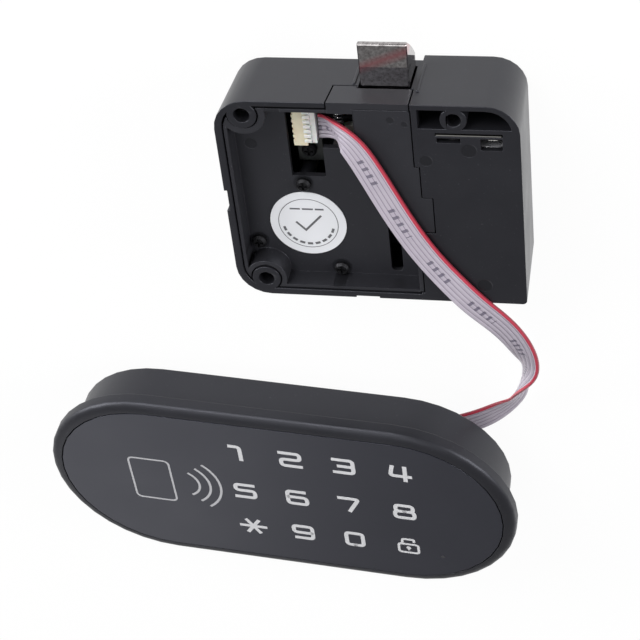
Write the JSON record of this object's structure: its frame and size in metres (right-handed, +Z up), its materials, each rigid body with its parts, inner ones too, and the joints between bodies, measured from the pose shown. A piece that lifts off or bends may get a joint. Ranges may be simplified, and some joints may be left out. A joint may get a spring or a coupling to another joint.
{
  "type": "electronic cabinet lock",
  "caption": "Electronic cabinet lock: latch-bolt body with battery block, joined by a flat ribbon to a pill-shaped touch keypad with card reader.",
  "frame": {"origin": "centre of the base of both units' bounding box, on the table, with the cord left out", "axes": "+Y along the latch bolt, out of the lock body; +Z up, out of the lock's open mounting side; +X across the bolt toward the battery block"},
  "size_m": [0.1502, 0.1895, 0.0319],
  "materials": {
    "housing_plastic": "fine moulded texture, near black",
    "tray_plastic": "smooth moulded tray, near black",
    "door_plastic": "fine moulded texture, near black",
    "bolt_chrome": "bright chrome plate over zinc",
    "carriage_plastic": "plain black slide plastic",
    "spring_steel": "bright spring wire",
    "motor_steel": "plain steel can",
    "gearbox_brass": "brass plates",
    "lead_steel": "turned steel",
    "nut_plastic": "natural slide plastic",
    "switch_plastic": "black switch body",
    "lever_steel": "thin bright strip",
    "lock_board": "green lacquered board",
    "header_plastic": "beige nylon",
    "plug_plastic": "white nylon",
    "seal_paper": "white printed paper",
    "strip_nickel": "nickel plated strip",
    "bezel_plastic": "satin black frame",
    "panel_plastic": "smooth dark panel with grey printed figures",
    "rear_box_plastic": "satin black shell",
    "keypad_board": "green lacquered board",
    "antenna_copper": "flat winding of lacquered copper wire",
    "guide_plastic": "frosted clear plastic",
    "led_plastic": "small lamp",
    "buzzer_plastic": "black can",
    "socket_plastic": "white nylon",
    "keypad_plug_plastic": "white nylon",
    "ribbon_vinyl": "grey flat ribbon with one red edge wire",
    "screw_steel": "blackened cross-head screw",
    "cell_sleeve": "printed cell sleeve",
    "contact_steel": "nickel plated contact",
    "insert_brass": "knurled brass insert"
  },
  "bodies": {
    "base": {"lock_housing": "housing_plastic", "inner_cover": "tray_plastic", "bolt_spring": "spring_steel", "drive_motor": "motor_steel", "motor_gearbox": "gearbox_brass", "limit_switch": "switch_plastic", "lock_pcb": "lock_board", "pcb_header": "header_plastic", "cable_plug": "plug_plastic", "inspection_seal": "seal_paper", "contact_strip": "strip_nickel", "keypad_bezel": "bezel_plastic", "touch_panel": "panel_plastic", "keypad_rear_box": "rear_box_plastic", "keypad_pcb": "keypad_board", "antenna_coil": "antenna_copper", "light_guide": "guide_plastic", "status_led": "led_plastic", "buzzer": "buzzer_plastic", "keypad_socket": "socket_plastic", "keypad_plug": "keypad_plug_plastic", "ribbon_cable": "ribbon_vinyl", "cover_screw_1": "screw_steel", "cover_screw_2": "screw_steel", "cover_screw_3": "screw_steel", "pcb_screw": "screw_steel", "keypad_screw_1": "screw_steel", "keypad_screw_2": "screw_steel", "keypad_screw_3": "screw_steel", "keypad_screw_4": "screw_steel", "battery_1": "cell_sleeve", "battery_2": "cell_sleeve", "battery_3": "cell_sleeve", "battery_4": "cell_sleeve", "cell_link_1": "contact_steel", "cell_link_2": "contact_steel", "cell_link_3": "contact_steel", "end_contact_1": "contact_steel", "end_contact_2": "contact_steel", "mounting_insert_1": "insert_brass", "mounting_insert_2": "insert_brass"},
    "bolt_slide_body": {"bolt": "bolt_chrome", "bolt_carriage": "carriage_plastic"},
    "screw_body": {"drive_screw": "lead_steel"},
    "nut_body": {"drive_nut": "nut_plastic"},
    "door_body": {"battery_door": "door_plastic"},
    "lever_body": {"switch_lever": "lever_steel"}
  },
  "joints": [
    {"name": "bolt_slide", "type": "slide", "parent": "base", "child": "bolt_slide_body", "axis": [0, -1, 0], "range_m": [0, 0.0118], "stiffness_N_per_m": 60, "springref_m": -0.003, "deforming": ["bolt_spring"]},
    {"name": "screw_turn", "type": "hinge", "parent": "base", "child": "screw_body", "pos_m": [0.02658, 0.04845, 0.0111], "axis": [0, -1, 0], "range_deg": [0, 1700]},
    {"name": "nut_travel", "type": "slide", "parent": "base", "child": "nut_body", "axis": [0, -1, 0], "range_m": [0, 0.0118]},
    {"name": "battery_door_lift", "type": "slide", "parent": "base", "child": "door_body", "axis": [0, 0, -1], "range_m": [0, 0.012]},
    {"name": "switch_lever_press", "type": "hinge", "parent": "base", "child": "lever_body", "pos_m": [0.03508, 0.03135, 0.0052], "axis": [0, 0, 1], "range_deg": [-12, 0], "stiffness_Nm_per_rad": 0.002}
  ],
  "couplings": [
    {"joint": "nut_travel", "follows": "bolt_slide", "ratio": 1},
    {"joint": "screw_turn", "follows": "bolt_slide", "rad_per_m": 2513.3}
  ]
}
